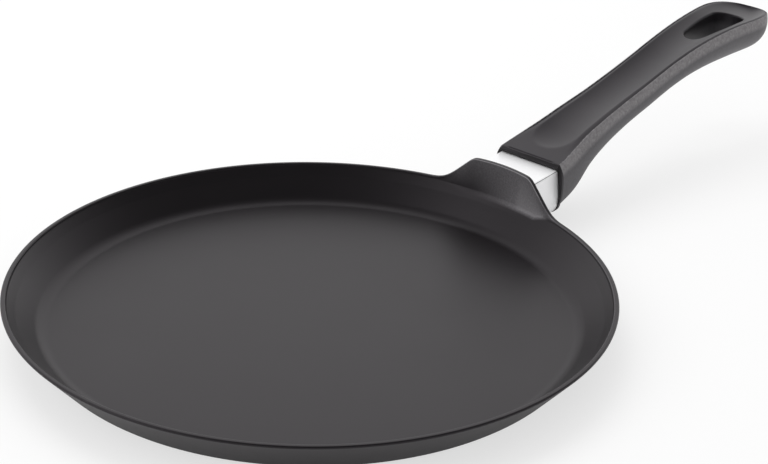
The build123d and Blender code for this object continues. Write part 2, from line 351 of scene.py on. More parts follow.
# %% The profile
rim_radius, rim_height, rim_width = 125 * mm, 19.1 * mm, 2.2 * mm
rim_land, rim_round = 0.9 * mm, 0.7 * mm
wall_slope = math.tan(math.radians(49))
floor_thickness, floor_round, wall_foot_width = 4.6 * mm, 8 * mm, 3.2 * mm
base_margin, base_step, under_round = 8.9 * mm, 0.8 * mm, 6 * mm
land_height = rim_height - rim_land
inner_rim_radius = rim_radius - rim_width
under_foot = rim_radius - (land_height - base_step) / wall_slope
base_radius = under_foot - base_margin
floor_radius = rim_radius - (land_height - floor_thickness) / wall_slope - wall_foot_width
crease_reach = 4 * mm
crease_steps = 10

outside = rounded(
    [
        (0, 0),
        (base_radius - base_step, 0),
        (base_radius, base_step),
        (under_foot, base_step),
        (rim_radius, land_height),
        (rim_radius, rim_height),
        (inner_rim_radius, rim_height),
        (inner_rim_radius, land_height),
    ],
    [0, 0.2 * mm, 0, under_round, 0.6 * mm, rim_round, rim_round, 0],
    closed=False, hold=0.15 * mm,
)
wall_top = [
    (inner_rim_radius - crease_reach / wall_slope * share, land_height - crease_reach * share)
    for share in np.linspace(0, 1, crease_steps)[1:]
]
inside = rounded(
    [wall_top[-1], (floor_radius, floor_thickness), (0, floor_thickness)],
    [0, floor_round, 0], closed=False, steps=14,
)
profile = [*outside, *wall_top, *inside[1:]]
is_inner = [0.0] * (len(outside) - 1) + [1.0] * (1 + len(wall_top)) + [0.0] * (len(inside) - 1)
print("profile points:", len(profile))

# %% [markdown]
# ## The pan
# Turning a profile is a rule, and so is the lug: a point of the rim rises with its distance from
# the handle's middle line, up a straight flank and over a soft shoulder. A geometry node tree says
# both, with the sizes as named inputs. Smooth minimum and smooth maximum round the shoulder and
# the foot of the lug, and the same smooth minimum fills the crease where the wall meets it.

# %% A tree that turns the profile and lifts the lug
turned = bpy.data.node_groups.new("turned_pan_with_lug", "GeometryNodeTree")
sizes = {
    "Land Height": land_height,
    "Stretch": rim_land - rim_round,
    "Inner Rim Radius": inner_rim_radius,
    "Wall Slope": wall_slope,
    "Lug Height": 14.6 * mm,
    "Lug Crown": 0.7 * mm,
    "Lug Shoulder": 16.2 * mm,
    "Lug Foot": 31 * mm,
    "Shoulder Round": 2.6 * mm,
    "Foot Round": 8 * mm,
    "Crease Round": 3.5 * mm,
}
turned.interface.new_socket("Profile", in_out="INPUT", socket_type="NodeSocketGeometry")
turned.interface.new_socket("Segments", in_out="INPUT", socket_type="NodeSocketInt")
for name in sizes:
    turned.interface.new_socket(name, in_out="INPUT", socket_type="NodeSocketFloat")
turned.interface.new_socket("Finish", in_out="INPUT", socket_type="NodeSocketMaterial")
turned.interface.new_socket("Pan", in_out="OUTPUT", socket_type="NodeSocketGeometry")
given = put(turned, "NodeGroupInput").outputs


def calc(operation, *values, clamp=False):
    """One Math node of the pan's tree, by its operation and its values in order."""
    node = put(turned, "ShaderNodeMath", dict(enumerate(values)), operation=operation, use_clamp=clamp)
    return node.outputs[0]


size = put(turned, "GeometryNodeAttributeDomainSize", {"Geometry": given["Profile"]})
count = size.outputs["Point Count"]
grid = put(turned, "GeometryNodeMeshGrid", {
    "Vertices X": calc("ADD", given["Segments"], 1), "Vertices Y": count,
})
index = put(turned, "GeometryNodeInputIndex").outputs[0]
along = calc("FLOOR", calc("DIVIDE", calc("ADD", index, 0.5), count))
across = calc("SUBTRACT", index, calc("MULTIPLY", along, count))
place = put(turned, "GeometryNodeInputPosition").outputs[0]
spot = put(turned, "GeometryNodeSampleIndex", {
    "Geometry": given["Profile"], "Value": place, "Index": across,
}, data_type="FLOAT_VECTOR")
flag = put(turned, "GeometryNodeInputNamedAttribute", {"Name": "inner"}, data_type="FLOAT")
inner = put(turned, "GeometryNodeSampleIndex", {
    "Geometry": given["Profile"], "Value": flag.outputs["Attribute"], "Index": across,
}, data_type="FLOAT").outputs[0]
radius, _, height = put(turned, "ShaderNodeSeparateXYZ", {0: spot.outputs[0]}).outputs
angle = calc("ADD", calc("MULTIPLY", calc("DIVIDE", along, given["Segments"]), 2 * math.pi), math.pi)
cosine, sine = calc("COSINE", angle), calc("SINE", angle)
sideways = calc("ABSOLUTE", calc("MULTIPLY", radius, sine))

to_shoulder = calc("DIVIDE", sideways, given["Lug Shoulder"])
crown = calc("MULTIPLY", given["Lug Crown"], calc("POWER", to_shoulder, 2))
level = calc("SUBTRACT", given["Lug Height"], crown)
flank = calc("MULTIPLY", calc("SUBTRACT", given["Lug Foot"], sideways), calc(
    "DIVIDE", calc("SUBTRACT", given["Lug Height"], given["Lug Crown"]),
    calc("SUBTRACT", given["Lug Foot"], given["Lug Shoulder"]),
))
raised = calc("SMOOTH_MIN", level, flank, given["Shoulder Round"])
raised = calc("SMOOTH_MAX", raised, 0, given["Foot Round"])
raised = calc("MULTIPLY", raised, calc("GREATER_THAN", cosine, 0))
share = calc("DIVIDE", calc("SUBTRACT", height, given["Land Height"]), given["Stretch"], clamp=True)
new_height = calc("ADD", height, calc("MULTIPLY", raised, share))

above_land = calc("SUBTRACT", new_height, given["Land Height"])
wall = calc("ADD", given["Inner Rim Radius"], calc("DIVIDE", above_land, given["Wall Slope"]))
soft = calc("MULTIPLY", given["Crease Round"], calc("DIVIDE", raised, given["Lug Height"]))
filled = calc("SMOOTH_MIN", wall, given["Inner Rim Radius"], soft)
new_radius = calc("ADD", radius, calc("MULTIPLY", inner, calc("SUBTRACT", filled, radius)))
position = put(turned, "ShaderNodeCombineXYZ", {
    0: calc("MULTIPLY", new_radius, cosine), 1: calc("MULTIPLY", new_radius, sine), 2: new_height,
})
moved = put(turned, "GeometryNodeSetPosition", {
    "Geometry": grid.outputs["Mesh"], "Position": position.outputs[0],
})
merged = put(turned, "GeometryNodeMergeByDistance", {"Geometry": moved.outputs[0], "Distance": 1e-6})
real = put(turned, "GeometryNodeRealizeInstances", {"Geometry": merged.outputs[0]})
finished = put(turned, "GeometryNodeSetMaterial", {
    "Geometry": real.outputs[0], "Material": given["Finish"],
})
put(turned, "NodeGroupOutput", {"Pan": finished.outputs[0]})
print("tree nodes:", len(turned.nodes))

# %% Turn the pan
lathe_mesh = bpy.data.meshes.new("lathe")
lathe_mesh.from_pydata([(radius_at, 0, height_at) for radius_at, height_at in profile],
                       [(place, place + 1) for place in range(len(profile) - 1)], [])
lathe_mesh.attributes.new("inner", "FLOAT", "POINT").data.foreach_set("value", is_inner)
lathe = bpy.data.objects.new("lathe", lathe_mesh)
bpy.context.collection.objects.link(lathe)
turning = lathe.modifiers.new("turning", "NODES")
turning.node_group = turned
sockets = {item.name: item.identifier for item in turned.interface.items_tree if item.in_out == "INPUT"}
turning[sockets["Segments"]] = 720
turning[sockets["Finish"]] = coating
for name, value in sizes.items():
    turning[sockets[name]] = value
evaluated = lathe.evaluated_get(bpy.context.evaluated_depsgraph_get())
pan_mesh = bpy.data.meshes.new_from_object(evaluated)
pan_points = [vertex.co.copy() for vertex in pan_mesh.vertices]
pan_faces = [tuple(polygon.vertices) for polygon in pan_mesh.polygons]
bpy.data.objects.remove(lathe)
print("turned pan:", len(pan_points), "points")

# %% [markdown]
# ## The joint behind the lug
# Behind the lug the casting goes on as a neck, on which the steel sleeve sits, and as a tongue
# that the handle is pushed over. They climb at 5 degrees, so their rings are placed along a
# tilted axis. The same outline, drawn in or out by small amounts, serves the neck, the sleeve and
# the inside of the handle.

# %% The joint's axis and the sleeve's outline
joint_angle = math.radians(5)
joint_place = np.array([127.5, 0, 17.8]) * mm
axis = np.array([math.cos(joint_angle), 0, math.sin(joint_angle)])
axis_up = np.array([-math.sin(joint_angle), 0, math.cos(joint_angle)])
sideways_axis = np.array([0, 1, 0])


def on_axis(outline, distance):
    """The points of an outline (sideways, upwards) placed square to the joint's axis."""
    return [joint_place + axis * distance + sideways_axis * y + axis_up * z for y, z in outline]


half_top, half_widest, half_foot = 16.5 * mm, 17.2 * mm, 16.4 * mm
sleeve_top, bulge_height = 11.2 * mm, -1.3 * mm
sleeve_outline = rounded(
    [
        (half_top, sleeve_top), (-half_top, sleeve_top), (-half_widest, bulge_height),
        (-half_foot, -sleeve_top), (half_foot, -sleeve_top), (half_widest, bulge_height),
    ],
    [1.2 * mm, 1.2 * mm, 30 * mm, 6 * mm, 6 * mm, 30 * mm], closed=True, steps=10,
)

# %% Neck and tongue, cast in one with the pan
neck_outline = drawn_in(sleeve_outline, 0.5 * mm)


def middle_of_wall(point):
    """The point moved along the joint's axis to the middle of the pan's wall or of its lug."""
    for _ in range(6):
        below = max(0, land_height - point[2])
        radius = rim_radius - rim_width / 2 - below / wall_slope
        point = point + axis * (math.sqrt(radius**2 - point[1]**2) - point[0])
    return point


neck_start = [middle_of_wall(point) for point in on_axis(neck_outline, 0)]
neck_cap = [middle_of_wall(point) for point in on_axis(neck_outline * 0.5, 0)]
neck_points, neck_faces = skin([
    [middle_of_wall(joint_place)] * len(neck_outline), neck_cap, neck_start,
    on_axis(neck_outline, -0.3 * mm), on_axis(neck_outline, 0),
], closed_at=(-1,))
tongue_width, tongue_thickness, tongue_rise, tongue_length = 20 * mm, 7.5 * mm, 3.2 * mm, 38 * mm
tongue_low, tongue_high = tongue_rise - tongue_thickness / 2, tongue_rise + tongue_thickness / 2
tongue_outline = rounded(
    [
        (tongue_width / 2, tongue_high), (-tongue_width / 2, tongue_high),
        (-tongue_width / 2, tongue_low), (tongue_width / 2, tongue_low),
    ],
    [1.5 * mm] * 4, closed=True,
)
notched = tongue_outline.copy()
notched[:, 1] = np.minimum(notched[:, 1], tongue_high - 2 * mm)
notch_start, notch_end = 30.5 * mm, 33.5 * mm
tongue_points, tongue_faces = skin([
    on_axis(tongue_outline, -2 * mm),
    on_axis(tongue_outline, notch_start),
    on_axis(notched, notch_start),
    on_axis(notched, notch_end),
    on_axis(tongue_outline, notch_end),
    on_axis(tongue_outline, tongue_length - 0.5 * mm),
    on_axis(drawn_in(tongue_outline, 0.5 * mm), tongue_length),
])
points, faces = [], []
casting = ((pan_points, pan_faces), (neck_points, neck_faces), (tongue_points, tongue_faces))
for more_points, more_faces in casting:
    faces += [tuple(place + len(points) for place in face) for face in more_faces]
    points += more_points
pan = finish_mesh("pan_casting", points, faces, coating)

# %% Where the colour is lightened: the lug's inner face (blasted grain and painted light), and painted highlights in its crease and on its inner edge
# Painted light: the lug's face and crease get lighter towards the right of the lug
lit_side_start, lit_side_reach = 16 * mm, 28 * mm
crease_drop, crease_fade, face_rise = 2.8 * mm, 1.2 * mm, 3 * mm
least_on_face, more_on_face, painted_crease_highlight, painted_edge_highlight = 0.15, 0.42, 1.2, 1.8
edge_place, edge_half, edge_drop = 0.1 * mm, 0.15 * mm, 0.75 * mm
crest = sorted(
    (vertex.co.y, vertex.co.z) for vertex in pan.data.vertices
    if vertex.co.x > 0 and vertex.co.z > land_height + 0.5 * mm
    and abs(math.hypot(vertex.co.x, vertex.co.y) - rim_radius + rim_width / 2) < 0.3 * mm
)
crest_y, crest_z = zip(*crest)
lightened_shares = []
for vertex in pan.data.vertices:
    x, y, z = vertex.co
    inwards = np.clip((inner_rim_radius + 0.5 * mm - math.hypot(x, y)) / (0.2 * mm), 0, 1)
    by_lug = np.clip((sizes["Lug Foot"] - abs(y)) / (9 * mm), 0, 1) * (x > 0)
    lowest = land_height + 0.1 * mm - crease_drop * by_lug
    up_the_face = np.clip((z - land_height - 1 * mm) / face_rise, 0, 1)
    lit_side_share = np.clip((lit_side_start - y) / lit_side_reach, 0, 1)
    # In the crease the lighter colour is a painted highlight. On the face it is partly grain and partly
    # painted light
    crease_highlight = painted_crease_highlight * lit_side_share**1.3 * (1 - up_the_face)
    on_face = (least_on_face + more_on_face * lit_side_share) * up_the_face
    share = inwards * np.clip((z - lowest) / crease_fade, 0, 1) * (crease_highlight + on_face)
    # A thin pale line along the lug's inner edge: a painted highlight
    edge_highlight_share = np.clip(1 - abs(math.hypot(x, y) - inner_rim_radius - edge_place) / edge_half, 0, 1)
    by_crest = z > np.interp(y, crest_y, crest_z) - edge_drop
    edge_highlight_share *= by_lug * (z > land_height + 1 * mm) * by_crest
    lightened_shares.append(share + (painted_edge_highlight - share) * edge_highlight_share)
mark(pan, "blast_grain_and_painted_light", lightened_shares)
print("points where the coating is thin:", sum(share > 0.5 for share in lightened_shares))
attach(pan, "root")
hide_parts("pan_body")

# %% [markdown]
# ## The sleeve
# It is a short cup drawn from thin stainless sheet and polished. Sheet has no sharp edges: the
# free edge at the handle is hidden in the handle's rebate, and the edge at the pan is the small
# round of the cup's floor. The cup's floor has a window for the tongue.

# %% The sleeve
sheet, sleeve_length, window_gap = 0.8 * mm, 18 * mm, 0.25 * mm
window_top, window_foot = tongue_high + window_gap, tongue_low - window_gap
window_side = tongue_width / 2 + window_gap


def by_direction(outline, directions):
    """Points of a closed outline in the given directions from the joint's axis."""
    closed_outline = np.vstack([outline, outline[:1]])
    fine = np.vstack([
        closed_outline[:-1] + (closed_outline[1:] - closed_outline[:-1]) * share
        for share in np.linspace(0, 1, 60, endpoint=False)
    ])
    bearings = np.arctan2(fine[:, 1], fine[:, 0])
    order = np.argsort(bearings)
    reach = np.interp(directions, bearings[order], np.hypot(*fine[order].T), period=2 * math.pi)
    return np.stack([np.cos(directions), np.sin(directions)], axis=1) * reach[:, None]


window_outline = np.array([
    (window_side, window_top), (-window_side, window_top),
    (-window_side, window_foot), (window_side, window_foot),
])
directions = np.arctan2(sleeve_outline[:, 1], sleeve_outline[:, 0])
corner_steps, corner_round = 5, 0.5 * mm
crease_columns, die_line_depth = (5, 18), 0.4 * mm
rings = []


def with_creases(outline):
    """The outline with the fine line that the drawing die leaves along each upper edge."""
    creased = outline.copy()
    for place in crease_columns:
        creased[place] *= 1 - die_line_depth / np.linalg.norm(creased[place])
    return creased


for step in range(corner_steps + 1):
    turn = math.pi / 2 * step / corner_steps
    outline = with_creases(drawn_in(sleeve_outline, corner_round * (1 - math.sin(turn))))
    rings.append(on_axis(outline, corner_round * (1 - math.cos(turn))))
for distance in (0.8 * mm, sleeve_length - 0.2 * mm):
    rings.append(on_axis(with_creases(sleeve_outline), distance))
rings.append(on_axis(drawn_in(sleeve_outline, 0.1 * mm), sleeve_length))
inside_outline = drawn_in(sleeve_outline, sheet)
rings += [on_axis(inside_outline, sleeve_length), on_axis(inside_outline, sheet + 0.3 * mm)]
rings.append(on_axis(drawn_in(sleeve_outline, sheet + 0.3 * mm), sheet))
window_ring = by_direction(window_outline, directions)
rings += [on_axis(window_ring, sheet), on_axis(window_ring, 0), rings[0]]
sleeve_points, sleeve_faces = skin(rings, closed_at=())
sleeve = finish_mesh("ferrule_sleeve", sleeve_points, sleeve_faces, polished)
crease_shade_shares = []
for vertex in sleeve.data.vertices:
    spoke = np.array(vertex.co) - joint_place
    bearing = math.atan2(spoke @ axis_up, spoke @ sideways_axis)
    crease_shade_shares.append(max(float(abs(bearing - directions[place]) < 0.004) for place in crease_columns))
mark(sleeve, "creased", crease_shade_shares)
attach(sleeve, "root")
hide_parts("ferrule")

# %% [markdown]
# ## The handle's sections
# The handle is a moulding whose section changes all the way: broad and nearly square at the
# sleeve, slim in the hand, broad again round the hanging slot. Eleven sections and a rule
# for the rounded tip say its shape, as in the solid model. Here they are joined by smooth curves
# instead of straight ones, and every section gets what the mould gives the real one: a soft top
# edge, the groove inside it, and a thumb rest that starts like the bowl of a spoon.

# %% Sections and how they change
handle_length, handle_rise = 185.5 * mm, 31.4 * mm
half_width, handle_depth = 19.2 * mm, 25.4 * mm
end_length, end_slant, end_bluntness, end_reach, end_fall = 19 * mm, 12, 0.64, 0.996, 0.040
sleeve_distance = 16 * mm
front_above_axis = 13.5 * mm
front_point = joint_place + axis * sleeve_distance + axis_up * front_above_axis
slot_length, slot_width, slot_front_width = 42.6 * mm, 17 * mm, 11.4 * mm
slot_from_tip, slot_margin = 36.1 * mm, 4 * mm
stations = np.array([
    # along, rise, lean, top, widest, drop, depth, hollow, fullness
    (0.000, 0.000, 5.0, 0.900, 1.000, 0.28, 1.000, 0.070, 0.84),
    (0.065, 0.096, 10.0, 0.835, 0.970, 0.33, 0.965, 0.068, 0.75),
    (0.133, 0.210, 14.0, 0.740, 0.885, 0.29, 0.825, 0.062, 0.62),
    (0.214, 0.325, 15.0, 0.690, 0.792, 0.25, 0.765, 0.060, 0.56),
    (0.306, 0.440, 14.0, 0.650, 0.734, 0.24, 0.690, 0.065, 0.55),
    (0.414, 0.580, 13.5, 0.640, 0.719, 0.24, 0.655, 0.070, 0.55),
    (0.522, 0.732, 13.0, 0.640, 0.719, 0.24, 0.640, 0.080, 0.55),
    (0.600, 0.834, 10.8, 0.667, 0.747, 0.24, 0.665, 0.090, 0.55),
    (1 - (slot_from_tip + slot_length / 2 + slot_margin) / handle_length,
     0.905, 8.1, 0.706, 0.792, 0.24, 0.700, 0.106, 0.55),
    (1 - slot_from_tip / handle_length, 0.987, 2.5, 0.806, 0.882, 0.24, 0.770, 0.138, 0.55),
    (1 - end_length / handle_length, 0.997, 0.0, 0.875, 0.927, 0.24, 0.780, 0.120, 0.55),
])


def smooth_rows(shares):
    """The stations' rows at these shares along, by a cubic through them that is level at the tip."""
    knots, values = stations[:, 0], stations
    steps = np.diff(knots)[:, None]
    slopes = np.diff(values, axis=0) / steps
    between = (slopes[:-1] * steps[1:] + slopes[1:] * steps[:-1]) / (steps[1:] + steps[:-1])
    tangents = np.vstack([slopes[:1], between, slopes[-1:] * 0])
    tangents[-1, 0] = 1
    rows = []
    for share in shares:
        span = min(np.searchsorted(knots, share, side="right") - 1, len(knots) - 2)
        width = knots[span + 1] - knots[span]
        t = (share - knots[span]) / width
        rows.append(
            (2 * t**3 - 3 * t**2 + 1) * values[span] + (t**3 - 2 * t**2 + t) * width * tangents[span]
            + (3 * t**2 - 2 * t**3) * values[span + 1] + (t**3 - t**2) * width * tangents[span + 1]
        )
        rows[-1][0] = share
    return rows


def tip_row(turn):
    """A row for the rounded tip: narrower, shallower and leaning back as it turns to 90 degrees."""
    sine, cosine = math.sin(turn), max(math.cos(turn), 0)
    last = stations[-1]
    narrow, shallow = cosine**end_bluntness, 1 - 0.2 * (1 - cosine)
    return np.array([
        1 - end_length / handle_length * (1 - end_reach * sine), last[1] - end_fall * sine**2,
        -end_slant * sine, last[3] * narrow, last[4] * narrow,
        last[5] * shallow, last[6] * shallow, last[7] * narrow, last[8],
    ])


front_shares = np.linspace(0, 3 * mm / handle_length, 13)
body_rows = smooth_rows([*front_shares, *np.linspace(front_shares[-1], stations[-1, 0], 150)[1:]])
tip_rows = [tip_row(math.pi / 2 * math.sin(math.pi / 2 * step / 32)) for step in range(1, 33)]
rows = body_rows + tip_rows
print("sections:", len(rows))

# %% The outline of one section
top_count, groove_count, edge_count, side_count, under_count = 16, 10, 6, 12, 24
edge_round = 0.6 * mm
groove_width, groove_widening, groove_depth = 1.6 * mm, 1.6 * mm, 0.55 * mm
spoon_start, spoon_reach = 9.5 * mm, 16 * mm
groove_start, groove_fade, groove_narrowing = 9 * mm, 14 * mm, 90 * mm
line_place, line_half, line_depth = 1.7 * mm, 0.45 * mm, 0.4 * mm
lip_roll = 0.6 * mm


def half_section(row):
    """Half of one section, from the middle of the top over the edge to the middle of the underside.

    Returns its points (sideways, upwards)."""
    share, _, _, top, widest, drop, depth, hollow, fullness = row
    top, widest = top * half_width, widest * half_width
    drop, depth, hollow = drop * handle_depth, depth * handle_depth, hollow * handle_depth
    ratio = top / (0.64 * half_width)
    small = min(1, ratio)
    radius = edge_round * small
    distance = share * handle_length
    widening = groove_widening * max(0, 1 - distance / groove_narrowing)
    groove_half = (groove_width + widening) * small / 2
    groove_at = max(top - radius - groove_half, 0)
    groove_show = np.clip((distance - groove_start) / groove_fade, 0, 1)
    line = line_depth * max(0, 1 - ((distance - line_place) / line_half)**2)
    flat = max(groove_at - groove_half, 0)
    ahead = max(0, (spoon_start + spoon_reach - distance) / spoon_reach)
    y_top = np.linspace(0, flat, top_count, endpoint=False)
    bowl = np.maximum(0, 1 - (y_top / max(flat, 1e-9))**2 - ahead**2)
    points = [(y, -hollow * b - line) for y, b in zip(y_top, bowl)]
    for reach in np.linspace(0, 1, groove_count):
        dip = groove_depth * small * groove_show * reach**1.6 * (reach < 1)
        points.append((groove_at + (2 * reach - 1) * groove_half, -dip))
    for step in range(edge_count):
        turn = math.pi / 2 * step / (edge_count - 1)
        points.append((top - radius * (1 - math.sin(turn)), -radius * (1 - math.cos(turn))))
    bend = (drop + radius) / 2
    for t in np.linspace(0, 1, side_count + 1)[1:]:
        y = (1 - t)**2 * top + 2 * (1 - t) * t * widest + t**2 * widest
        z = -((1 - t)**2 * radius + 2 * (1 - t) * t * bend + t**2 * drop)
        points.append((y, z))
    under_bend = drop + fullness * (depth - drop)
    for t in np.linspace(0, 1, under_count + 1)[1:]:
        y = (1 - t)**3 * widest + 3 * (1 - t)**2 * t * widest + 3 * (1 - t) * t**2 * fullness * widest
        z = -((1 - t)**3 * drop + 3 * (1 - t)**2 * t * under_bend + (3 - 2 * t) * t**2 * depth)
        points.append((y, z))
    points = np.array(points)
    # The lip in front of the line rolls down towards the sleeve
    roll = lip_roll * max(0, 1 - distance / line_place)**1.5
    points[:, 1] -= roll * np.clip(1 + points[:, 1] / drop, 0, 1)
    return points


half_count = top_count + groove_count + edge_count + side_count + under_count
print("points in half a section:", half_count)


def section(row):
    """A whole section: the left half, then the right half back up to the top."""
    left = half_section(row)
    return np.vstack([left, (left * (-1, 1))[-2:0:-1]])


def place_section(outline, row):
    """The section's points on its own leaning plane."""
    lean = math.radians(row[2])
    origin = front_point + (row[0] * handle_length, 0, row[1] * handle_rise)
    upwards = np.array([-math.sin(lean), 0, math.cos(lean)])
    return [origin + sideways_axis * y + upwards * z for y, z in outline]


# %% [markdown]
# ## The handle's skin
# The sections are joined into one skin. At the front its edge is rounded, and the skin turns in:
# a rebate covers the end of the sleeve, a nose fills the sleeve, and a socket takes the tongue.

# %% The handle's rings
front_round, front_steps = 0.5 * mm, 5
front_row = rows[0]
front_outline = section(front_row)
columns = len(front_outline)
front_rings = []
for step in range(front_steps + 1):
    turn = math.pi / 2 * step / front_steps
    inset = drawn_in(front_outline, front_round * (1 - math.sin(turn)))
    shift = axis * front_round * (1 - math.cos(turn))
    front_rings.append([point + shift for point in place_section(inset, front_row)])
kept = [row for row in rows if row[0] * handle_length > front_round + 0.3 * mm]
outer_rings = front_rings + [place_section(section(row), row) for row in kept]

spread = np.array([(point - joint_place - axis * sleeve_distance) for point in front_rings[-1]])
front_directions = np.arctan2(spread @ axis_up, spread @ sideways_axis)
socket_top, socket_end, nose_start = 10 * mm, 40 * mm, 1.8 * mm
socket_outline = np.array([
    (window_side, socket_top), (-window_side, socket_top),
    (-window_side, window_foot), (window_side, window_foot),
])
rebate_ring = by_direction(drawn_in(sleeve_outline, -0.4 * mm), front_directions)
nose_ring = by_direction(drawn_in(sleeve_outline, sheet + 0.2 * mm), front_directions)
socket_ring = by_direction(socket_outline, front_directions)
inner_rings = [
    on_axis(socket_ring, socket_end),
    on_axis(socket_ring, nose_start),
    on_axis(nose_ring, nose_start),
    on_axis(nose_ring, sleeve_length),
    on_axis(rebate_ring, sleeve_length),
    on_axis(rebate_ring, sleeve_distance),
]
rings = inner_rings + outer_rings
points, faces = skin(rings, closed_at=(0,))
print("rings:", len(rings), "of", columns, "points")

# %% [markdown]
# ## The hanging slot
# A hole could be cut with a boolean, but its mouth should be softly rounded, and a rounded mouth
# needs clean faces round it. So the faces above and below the slot are taken out, and new rows of
# faces lead from the edge of that gap to the slot's outline, over the round and down the wall.
# Rays sent down onto the closed skin say how high its surface is at each of the new points.

# %% Rows of the slot's mouth
tip_x = front_point[0] + handle_length
slot_middle = tip_x - slot_from_tip
front_radius, end_radius = slot_front_width / 2, slot_width / 2
front_core = slot_middle - slot_length / 2 + front_radius
end_core = slot_middle + slot_length / 2 - end_radius
taper = math.asin((end_radius - front_radius) / (end_core - front_core))
mouth_round = 0.9 * mm
around_slot = 11
first_outer = len(inner_rings)
row_x = [np.mean([point[0] for point in ring]) for ring in rings]
gap_start = slot_middle - slot_length / 2 - slot_margin
gap_end = slot_middle + slot_length / 2 + 1.6 * mm
start_row = max(place for place, x in enumerate(row_x) if x < gap_start)
end_row = min(place for place, x in enumerate(row_x) if x > gap_end)
skin_tree = BVHTree.FromPolygons([Vector(point) for point in points], faces)


def surface_at(x, y, from_above):
    """The height of the skin at a place, from above or from below."""
    start = Vector((x, y, 0.2 if from_above else -0.1))
    hit = skin_tree.ray_cast(start, Vector((0, 0, -1 if from_above else 1)))[0]
    return hit.z


def nearest_on_slot(point):
    """The place on the slot's middle line that a point belongs to, the direction from there to the
    point, and the slot's radius there. Between its two rounds the slot is a taper, whose walls stand
    square to a line that leans back by the taper's angle."""
    across = abs(point[1]) * math.tan(taper)
    core = np.array([np.clip(point[0] + across, front_core, end_core), 0])
    away = np.array(point[:2]) - core
    share = (core[0] - front_core) / (end_core - front_core)
    swelling = (end_radius - front_radius) * math.sin(share * math.pi / 2)
    return core, away / np.linalg.norm(away), front_radius + swelling


def loop_of(middle_column):
    """Indices of the skin's points round a gap of the given rows and columns."""
    low, high = middle_column - around_slot, middle_column + around_slot

    def at(row, column):
        return row * columns + column % columns

    return (
        [at(start_row, column) for column in range(low, high)]
        + [at(row, high) for row in range(start_row, end_row)]
        + [at(end_row, column) for column in range(high, low, -1)]
        + [at(row, low) for row in range(end_row, start_row, -1)]
    )


def strip(first, second):
    """Faces between two loops of equal counts."""
    count = len(first)
    return [(first[k], first[(k + 1) % count], second[(k + 1) % count], second[k]) for k in range(count)]


gone = set()
mouths = []
for middle_column, from_above in ((0, True), (half_count - 1, False)):
    for row in range(start_row, end_row):
        for column in range(middle_column - around_slot, middle_column + around_slot):
            gone.add(row * columns + column % columns)
    loop = loop_of(middle_column)
    spots = [nearest_on_slot(points[place]) for place in loop]
    faces_here = []
    previous = loop
    lanes = [(1 - share, mouth_round, 0) for share in (0.25, 0.5, 0.75, 0.92, 1)]
    lanes += [(0, mouth_round * (1 - math.sin(turn)), mouth_round * (1 - math.cos(turn)))
              for turn in np.linspace(0, math.pi / 2, 7)[1:]]
    for outwards, offset, depth in lanes:
        current = []
        for place, (core, away, radius) in zip(loop, spots):
            on_mouth = core + away * (radius + offset)
            x, y = on_mouth + (np.array(points[place][:2]) - on_mouth) * outwards
            z = surface_at(x, y, from_above) + (-depth if from_above else depth)
            points.append(np.array([x, y, z]))
            current.append(len(points) - 1)
        faces_here += strip(previous, current)
        previous = current
    faces += faces_here
    mouths.append(previous)
top_mouth, under_mouth = mouths
# The two loops run opposite ways round, so the lower one is turned to start at the same place
under_mouth = under_mouth[::-1]
starts = np.array([points[place][:2] for place in under_mouth])
first = int(np.argmin(np.linalg.norm(starts - points[top_mouth[0]][:2], axis=1)))
under_mouth = under_mouth[first:] + under_mouth[:first]
previous, wall_steps = top_mouth, 5
for step in range(1, wall_steps + 1):
    if step == wall_steps:
        current = under_mouth
    else:
        current = []
        for high, low in zip(top_mouth, under_mouth):
            points.append(points[high] + (points[low] - points[high]) * step / wall_steps)
            current.append(len(points) - 1)
    faces += strip(previous, current)
    previous = current
ring_faces = (len(rings) - 1) * columns
faces = [face for place, face in enumerate(faces) if not (place < ring_faces and place in gone)]
print("slot loop points:", len(top_mouth))

# %% The handle
handle = finish_mesh("handle_moulding", points, faces, phenolic)
lit_band_width, slot_shade = 5.5 * mm, 0.6
# The painted shade of the lip's front reaches further back on the right of the handle
least_reach, more_reach, reach_start, reach_fade = 0.45 * mm, 1.3 * mm, 10 * mm, 14 * mm
grain_and_lit_band_shares, painted_shade_shares = [], []
for vertex in handle.data.vertices:
    x, y, z = vertex.co
    share = (x - front_point[0]) / handle_length
    row = smooth_rows([max(share, 0)])[0] if share < stations[-1, 0] else tip_row(
        math.asin(np.clip((1 - (1 - share) * handle_length / end_length) / end_reach, 0, 1)))
    below = front_point[2] + row[1] * handle_rise - z
    outside_top = abs(y) > row[3] * half_width - edge_round or below > 0.3 * handle_depth
    # The upper band of each side is painted lighter: painted light
    lit_band = np.clip((lit_band_width - below) / (0.4 * lit_band_width), 0, 1)
    grain_and_lit_band_shares.append(outside_top * (0.5 + 0.5 * lit_band))
    ahead = (np.array(vertex.co) - joint_place) @ axis - sleeve_distance
    front_reach = least_reach + more_reach * np.clip((reach_start - y) / reach_fade, 0, 1)
    core, _, slot_radius = nearest_on_slot(vertex.co)
    in_slot = math.dist(core, vertex.co[:2]) < slot_radius + 0.2 * mm
    painted_shade_shares.append(max(slot_shade * in_slot, np.clip((front_reach - ahead) / (0.2 * mm), 0, 1)))
mark(handle, "grain_and_lit_band", grain_and_lit_band_shares)
mark(handle, "painted_shade", painted_shade_shares)
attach(handle, "root")
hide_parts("handle")

# %% [markdown]
# ## The hidden spring
# The spring that locks the handle is right as the solid model has it, so it only gets its steel.

# %% The spring
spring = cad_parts["lock_spring"]
spring.data.materials.clear()
spring.data.materials.append(rolled)

# %% [markdown]
# ## The studio
# The photograph is lit by large soft lights before a white backdrop: the floor of the pan and the
# top of the handle mirror it softly. The world is white where the camera looks at it, a soft change
# from a lit backdrop to a dim room where a mirror-like surface looks, and a little weaker as a
# light. Two wide area lamps from above add the rest.

